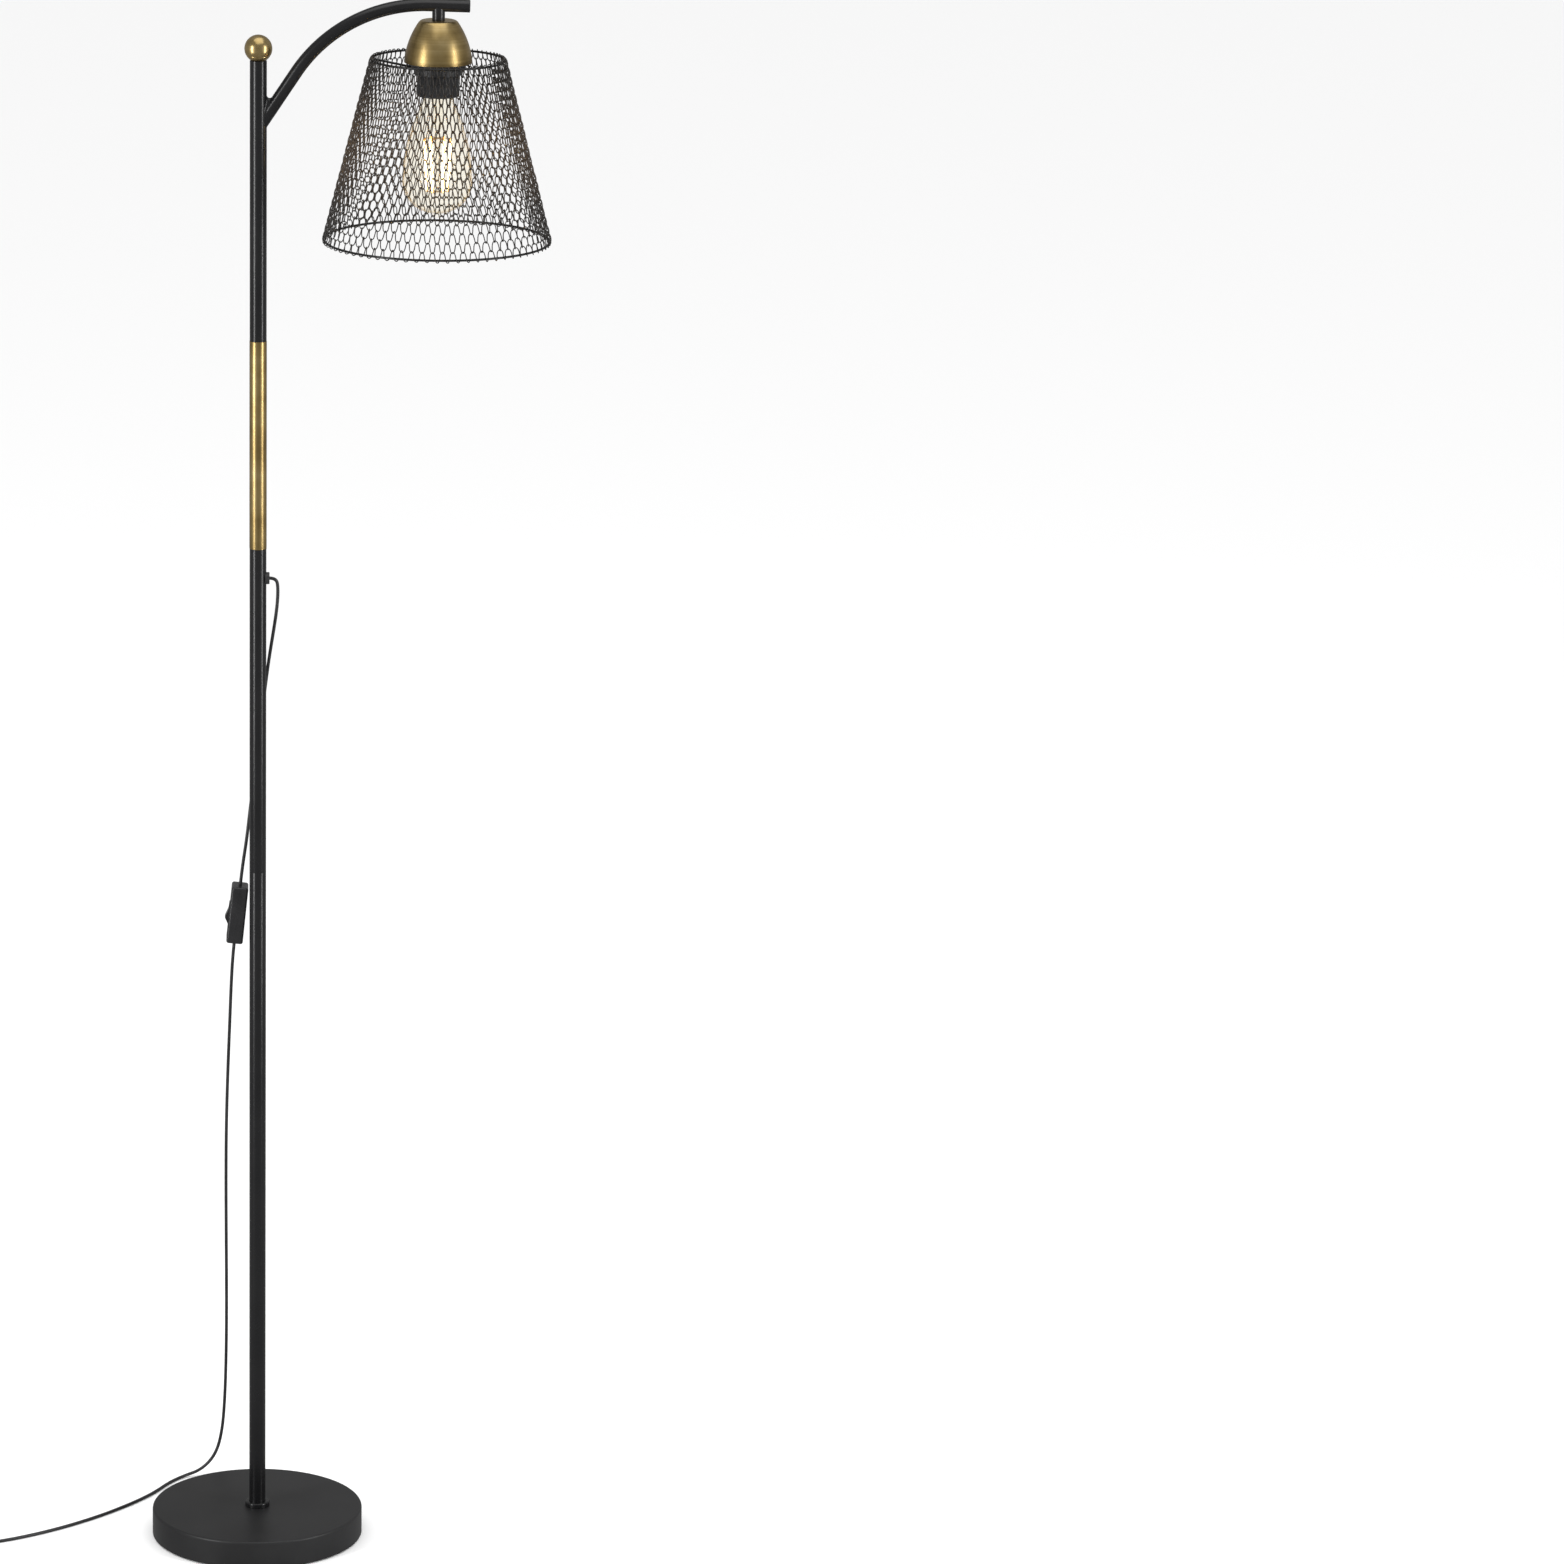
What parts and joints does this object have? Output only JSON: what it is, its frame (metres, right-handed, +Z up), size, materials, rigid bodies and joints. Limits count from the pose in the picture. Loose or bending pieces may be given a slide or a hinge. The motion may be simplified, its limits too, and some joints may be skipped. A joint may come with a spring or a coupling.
{
  "type": "floor lamp",
  "caption": "Floor lamp with a round weighted base, a slim pole, a curved side arm and a conical knitted wire cage shade round a clear bulb, with cord and inline switch.",
  "frame": {"origin": "on the floor, on the pole's axis, in the middle of the base's underside", "axes": "+Z up along the pole, +X the way the arm reaches, +Y towards the back"},
  "size_m": [0.6632, 0.2672, 1.5244],
  "materials": {
    "pad": "matt foamed rubber",
    "iron": "rough casting",
    "base_black": "satin black paint",
    "zinc": "zinc plated",
    "black_steel": "semi-gloss black paint",
    "brass": "brushed antique brass",
    "phenolic": "moulded black phenolic",
    "ceramic": "glazed ceramic",
    "bare_brass": "plain brass",
    "shade_black": "black paint",
    "knit_wire": "black painted wire",
    "bulb_glass": "clear, faintly warm glass",
    "cap_metal": "rolled thread",
    "cap_glass": "black glass insulator",
    "solder": "solder",
    "support_wire": "drawn wire",
    "filament": "lit, warm yellow",
    "grommet": "black moulding",
    "cord": "black sheath",
    "switch_plastic": "black moulding",
    "plug_plastic": "black moulding"
  },
  "bodies": {
    "stand": {"base_pad": "pad", "base_weight": "iron", "base_cover": "base_black", "base_washer": "zinc", "base_nut": "zinc", "base_stud": "zinc", "foot_collar": "black_steel", "pole_lower": "black_steel", "pole_middle": "black_steel", "pole_brass": "brass", "pole_upper": "black_steel", "pole_inserts": "zinc", "pole_nipples": "zinc", "top_plug": "zinc", "finial_ball": "brass", "arm_tube": "black_steel", "arm_weld": "black_steel", "arm_end_cap": "black_steel", "head_stem": "black_steel", "socket_cup": "brass", "head_nipple": "zinc", "head_lock_nut": "zinc", "holder_dome": "phenolic", "holder_skirt": "phenolic", "holder_core": "ceramic", "screw_shell": "bare_brass", "centre_contact": "bare_brass", "terminal_screws": "zinc", "cord_grommet": "grommet", "inner_lead": "cord", "switch_front": "switch_plastic", "switch_back": "switch_plastic", "rocker_pin": "zinc", "switch_screws": "zinc", "switch_contacts": "bare_brass", "cord_upper": "cord", "cord_lower": "cord", "cord_coil": "cord", "plug_body": "plug_plastic", "plug_blades": "bare_brass"},
    "rocker": {"switch_rocker": "switch_plastic"},
    "contact_button": {"bulb_button": "solder"},
    "bulb": {"bulb_glass": "bulb_glass", "bulb_stalk": "bulb_glass", "bulb_supports": "support_wire", "bulb_filaments": "filament", "bulb_cap": "cap_metal", "bulb_insulator": "cap_glass"},
    "shade": {"shade_top_ring": "shade_black", "shade_bottom_ring": "shade_black", "shade_spider": "shade_black", "shade_knit": "knit_wire"},
    "ring_nut": {"ring_nut": "phenolic"}
  },
  "joints": [
    {"name": "rocker_tip", "type": "hinge", "parent": "stand", "child": "rocker", "pos_m": [-0.02517, 0.016, 0.63231], "axis": [0, -1, 0], "range_deg": [0, 14]},
    {"name": "bulb_travel", "type": "slide", "parent": "stand", "child": "contact_button", "axis": [0, 0, -1], "range_m": [0, 0.02197]},
    {"name": "bulb_turn", "type": "hinge", "parent": "contact_button", "child": "bulb", "pos_m": [0.168, 0, 1.46006], "axis": [0, 0, -1], "range_deg": [0, 2160]},
    {"name": "shade_travel", "type": "slide", "parent": "stand", "child": "shade", "axis": [0, 0, -1], "range_m": [0, 0.019]},
    {"name": "nut_turn", "type": "hinge", "parent": "shade", "child": "ring_nut", "pos_m": [0.168, 0, 1.46006], "axis": [0, 0, -1], "range_deg": [0, 7210]}
  ],
  "couplings": [
    {"joint": "bulb_travel", "follows": "bulb_turn", "m_per_rad": 0.0005775},
    {"joint": "nut_turn", "follows": "shade_travel", "rad_per_m": 6613.9}
  ]
}
